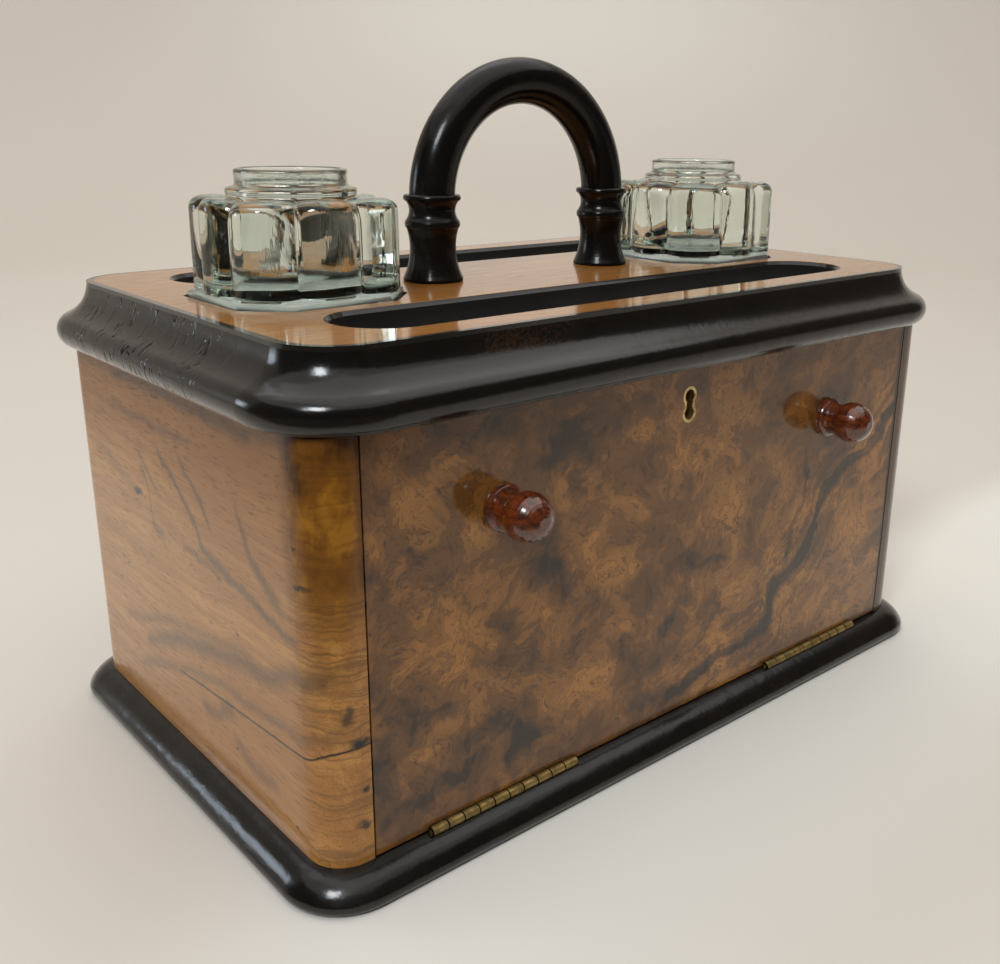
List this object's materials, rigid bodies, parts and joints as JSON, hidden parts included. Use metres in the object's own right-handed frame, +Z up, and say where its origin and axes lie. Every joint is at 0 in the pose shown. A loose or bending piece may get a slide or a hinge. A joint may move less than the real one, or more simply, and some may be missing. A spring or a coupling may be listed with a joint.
{
  "type": "desk stationery box",
  "caption": "Walnut stationery box with an ebonised moulded top, glass inkwells, pen troughs, a carrying handle and a locking front that falls open on brass hinges",
  "frame": {"origin": "middle of the plinth's flat underside", "axes": "+X along the front, to the right for someone facing it; -Y is the side with the falling front; +Z up"},
  "size_m": [0.3194, 0.2101, 0.2476],
  "materials": {
    "ebonised_wood": "ebonised and polished, finely crackled",
    "walnut": "polished figured walnut",
    "burr_walnut": "polished burr walnut",
    "inner_board": "stained and waxed",
    "clear_glass": "pressed clear glass with a green tint",
    "rosewood": "turned and polished",
    "steel_screws": "dulled",
    "hinge_pin_brass": "dulled",
    "aged_brass": "aged"
  },
  "bodies": {
    "carcass": {"plinth": "ebonised_wood", "floor_board": "inner_board", "side_left": "walnut", "side_right": "walnut", "back_panel": "walnut", "lining_left": "inner_board", "lining_right": "inner_board", "division_left": "inner_board", "division_right": "inner_board", "top_board": "ebonised_wood", "deck_veneer": "walnut", "handle_post_left": "ebonised_wood", "handle_post_right": "ebonised_wood", "handle_arch": "ebonised_wood", "handle_screws": "steel_screws", "strike_plate": "aged_brass", "strike_screws": "aged_brass", "hinge_left_fixed_leaf": "aged_brass", "hinge_left_pin": "hinge_pin_brass", "hinge_right_fixed_leaf": "aged_brass", "hinge_right_pin": "hinge_pin_brass", "hinge_fixed_screws": "aged_brass", "plinth_screws": "steel_screws"},
    "flap": {"flap": "burr_walnut", "knob_left": "rosewood", "knob_right": "rosewood", "keyhole_lining": "aged_brass", "lock_case": "aged_brass", "lock_screws": "aged_brass", "hinge_left_moving_leaf": "aged_brass", "hinge_right_moving_leaf": "aged_brass", "hinge_moving_screws": "aged_brass"},
    "bolt": {"lock_bolt": "aged_brass"},
    "left_well": {"inkwell_left": "clear_glass"},
    "right_well": {"inkwell_right": "clear_glass"}
  },
  "joints": [
    {"name": "flap_hinge", "type": "hinge", "parent": "carcass", "child": "flap", "pos_m": [0, -0.09135, 0.0111], "axis": [1, 0, 0], "range_deg": [0, 85]},
    {"name": "bolt_slide", "type": "slide", "parent": "flap", "child": "bolt", "axis": [0, 0, 1], "range_m": [0, 0.004]},
    {"name": "left_well_lift", "type": "slide", "parent": "carcass", "child": "left_well", "axis": [0, 0, 1], "range_m": [0, 0.06]},
    {"name": "right_well_lift", "type": "slide", "parent": "carcass", "child": "right_well", "axis": [0, 0, 1], "range_m": [0, 0.06]}
  ]
}
